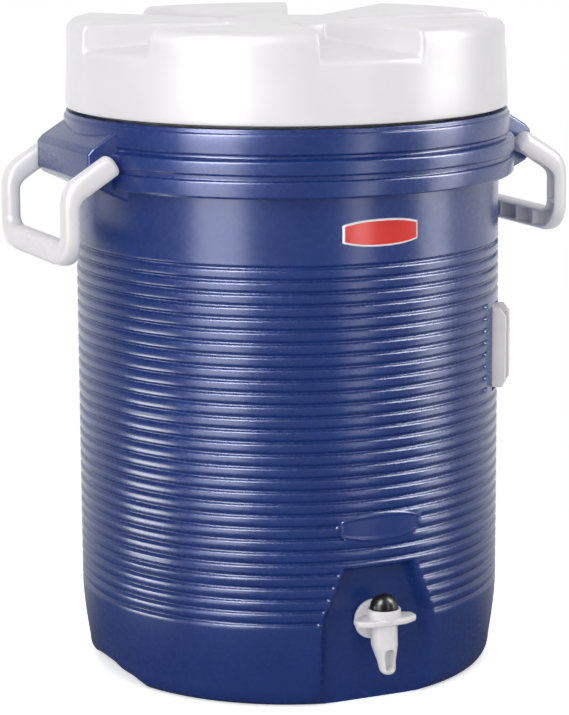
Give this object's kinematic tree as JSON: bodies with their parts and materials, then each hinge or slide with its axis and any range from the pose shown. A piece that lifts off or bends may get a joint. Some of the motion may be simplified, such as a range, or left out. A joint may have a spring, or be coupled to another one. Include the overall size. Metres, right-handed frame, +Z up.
{
  "type": "insulated beverage dispenser",
  "caption": "Round insulated drink dispenser with a ribbed barrel, a screw-on lid with finger recesses, side bail handles, a push-button tap and a cup bracket.",
  "frame": {"origin": "on the floor, at the middle of the object's outer box, on the barrel's axis", "axes": "+Z up along the barrel's axis, -Y towards the tap, +X to the right as seen from the tap's side"},
  "size_m": [0.402, 0.3374, 0.4755],
  "materials": {
    "body_plastic": "satin",
    "white_plastic": "satin",
    "liner_plastic": "satin",
    "foam": "matte",
    "badge_print": "gloss",
    "button_plastic": "satin",
    "seal_rubber": "matte",
    "gasket_rubber": "matte",
    "spring_steel": "satin"
  },
  "bodies": {
    "cooler": {"outer_shell": "body_plastic", "foam_plug": "body_plastic", "inner_liner": "liner_plastic", "insulation_foam": "foam", "badge": "badge_print", "cup_bracket": "white_plastic", "bracket_screws": "spring_steel", "tap_body": "white_plastic", "tap_bonnet": "white_plastic", "tap_outer_washer": "seal_rubber", "tap_inner_washer": "seal_rubber", "tap_nut": "white_plastic", "tap_spring": "spring_steel"},
    "tap_plunger": {"tap_button": "button_plastic", "tap_stem": "white_plastic", "tap_seal": "seal_rubber"},
    "lid_seal": {"lid_gasket": "gasket_rubber"},
    "lid": {"lid_cover": "white_plastic", "lid_liner": "liner_plastic", "lid_foam": "foam"},
    "left_handle": {"left_handle": "white_plastic"},
    "right_handle": {"right_handle": "white_plastic"}
  },
  "joints": [
    {"name": "button_press", "type": "slide", "parent": "cooler", "child": "tap_plunger", "axis": [0, 0, -1], "range_m": [0, 0.005], "stiffness_N_per_m": 600, "springref_m": -0.001, "deforming": ["tap_spring"]},
    {"name": "lid_lift", "type": "slide", "parent": "cooler", "child": "lid_seal", "axis": [0, 0, 1], "range_m": [0, 0.0241]},
    {"name": "lid_turn", "type": "hinge", "parent": "lid_seal", "child": "lid", "pos_m": [0, 0, 0.4125], "axis": [0, 0, 1], "range_deg": [0, 720]},
    {"name": "left_handle_swing", "type": "hinge", "parent": "cooler", "child": "left_handle", "pos_m": [-0.166, 0, 0.379], "axis": [0, 1, 0], "range_deg": [0, 115]},
    {"name": "right_handle_swing", "type": "hinge", "parent": "cooler", "child": "right_handle", "pos_m": [0.166, 0, 0.379], "axis": [0, -1, 0], "range_deg": [0, 115]}
  ],
  "couplings": [
    {"joint": "lid_lift", "follows": "lid_turn", "m_per_rad": 0.0019099}
  ]
}
